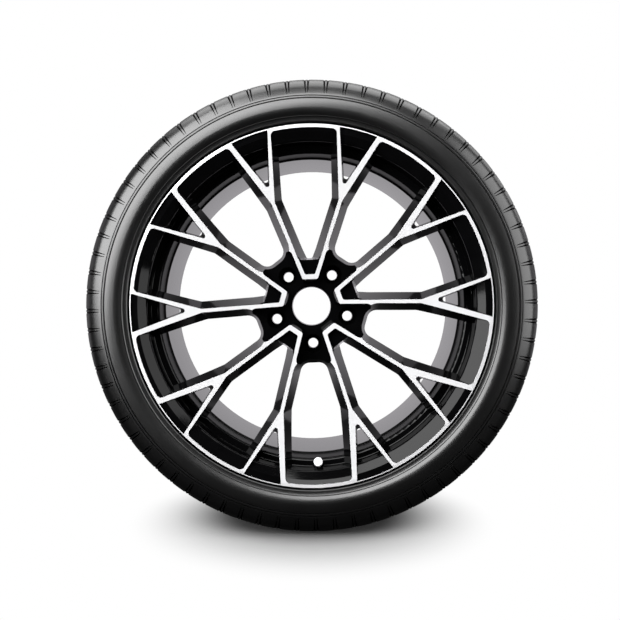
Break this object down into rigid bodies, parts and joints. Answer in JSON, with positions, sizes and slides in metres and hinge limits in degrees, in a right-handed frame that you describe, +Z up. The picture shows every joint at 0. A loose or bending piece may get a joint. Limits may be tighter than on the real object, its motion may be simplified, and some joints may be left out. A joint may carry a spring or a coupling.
{
  "type": "wheel and tyre assembly",
  "caption": "Cast alloy wheel with branched two-tone spokes and a bright rim edge, fitted with a low-profile road tyre and a clamp-in valve.",
  "frame": {"origin": "centre of the hub mounting face, on the wheel's axis", "axes": "+Y along the wheel's axis from the outer face to the inboard side, +Z up, the wheel standing on its tread"},
  "size_m": [0.6676, 0.2654, 0.6659],
  "materials": {
    "wheel_alloy": "gloss black paint with bright turned front faces",
    "tyre_rubber": "satin black rubber",
    "valve_metal": "nickel plated",
    "cap_metal": "bright satin",
    "core_brass": "turned",
    "spring_steel": "drawn wire",
    "seal_rubber": "matt"
  },
  "bodies": {
    "wheel": {"alloy_wheel": "wheel_alloy", "tyre": "tyre_rubber", "valve_stem": "valve_metal", "valve_grommet": "seal_rubber", "valve_washer": "valve_metal", "valve_nut": "valve_metal", "valve_core_barrel": "core_brass", "valve_core_ring": "seal_rubber", "valve_spring": "spring_steel"},
    "pin": {"valve_pin": "core_brass", "valve_pin_seal": "seal_rubber"},
    "cap_liner": {"valve_cap_seal": "seal_rubber"},
    "cap": {"valve_cap": "cap_metal"}
  },
  "joints": [
    {"name": "pin_press", "type": "slide", "parent": "wheel", "child": "pin", "axis": [0.012, 0.9613, -0.2754], "range_m": [0, 0.0015], "stiffness_N_per_m": 1500, "springref_m": -0.002, "deforming": ["valve_spring"]},
    {"name": "cap_lift", "type": "slide", "parent": "wheel", "child": "cap_liner", "axis": [-0.012, -0.9613, 0.2754], "range_m": [0, 0.00556]},
    {"name": "cap_turn", "type": "hinge", "parent": "cap_liner", "child": "cap", "pos_m": [0.00992, -0.06628, -0.22727], "axis": [-0.012, -0.9613, 0.2754], "range_deg": [0, 2521]}
  ],
  "couplings": [
    {"joint": "cap_turn", "follows": "cap_lift", "rad_per_m": 7913.3}
  ]
}
